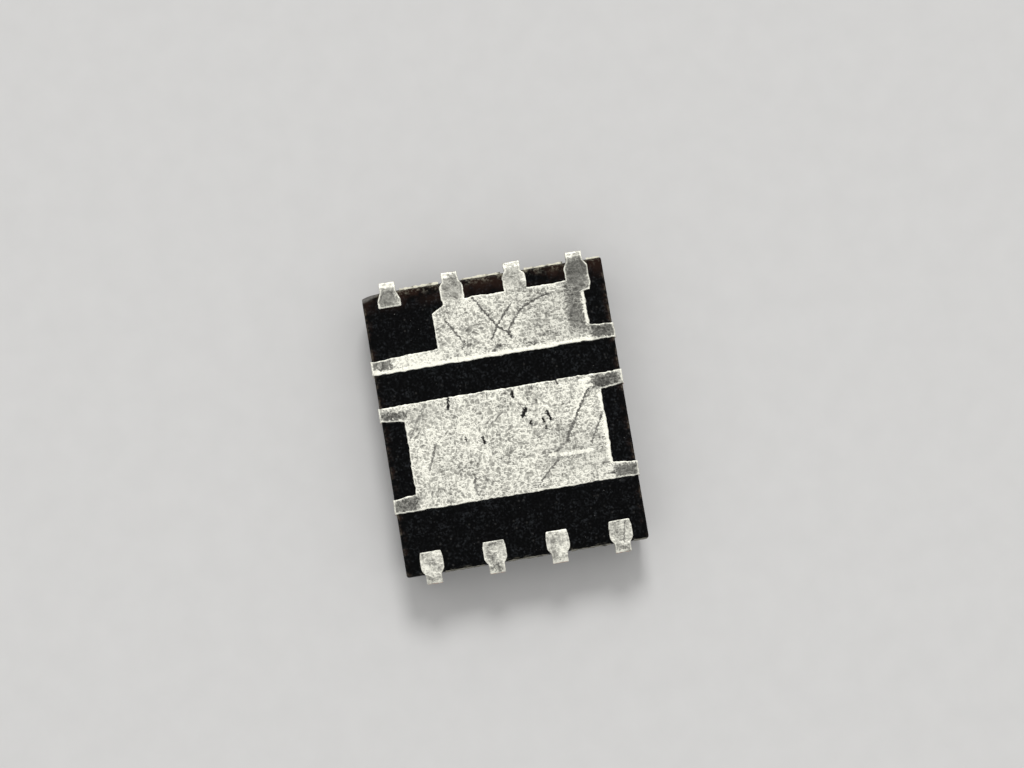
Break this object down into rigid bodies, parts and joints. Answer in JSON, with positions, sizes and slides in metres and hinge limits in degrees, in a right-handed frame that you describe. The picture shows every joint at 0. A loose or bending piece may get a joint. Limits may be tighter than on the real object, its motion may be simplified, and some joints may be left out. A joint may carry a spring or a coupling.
{
  "type": "field-effect transistor",
  "caption": "Flat surface-mount half-bridge field-effect transistor: black moulded body lying on its marked face, with tinned solder pads, stub leads and cut tie bars facing up.",
  "frame": {"origin": "centre of the marked face, on the surface that the part lies on", "axes": "+Z out of the solder pads, +Y towards the row with the high-side gate and drain leads, +X along the rows, away from the gate leads"},
  "size_m": [0.005, 0.0062, 0.001],
  "materials": {
    "mould_compound": "black silica-filled moulding epoxy, dull, with fine filler grain and light dust",
    "tin_plate": "matte tin plating on a copper sheet, fine grained, scratched and pitted from handling",
    "clip_copper": "bare rolled copper",
    "silicon": "ground silicon with metallised source and gate areas",
    "die_solder": "dull grey high-temperature solder",
    "wire_gold": "drawn gold bonding wire"
  },
  "bodies": {
    "root": {"mould_body": "mould_compound", "high_side_gate_lead": "tin_plate", "high_side_drain_pad": "tin_plate", "switch_node_pad": "tin_plate", "low_side_source_leads": "tin_plate", "low_side_gate_lead": "tin_plate", "high_side_die": "silicon", "low_side_die": "silicon", "high_side_die_solder": "die_solder", "low_side_die_solder": "die_solder", "high_side_clip": "clip_copper", "low_side_clip": "clip_copper", "high_side_source_solder": "die_solder", "low_side_source_solder": "die_solder", "high_side_foot_solder": "die_solder", "low_side_foot_solder": "die_solder", "high_side_gate_wire": "wire_gold", "low_side_gate_wire": "wire_gold"}
  },
  "joints": []
}
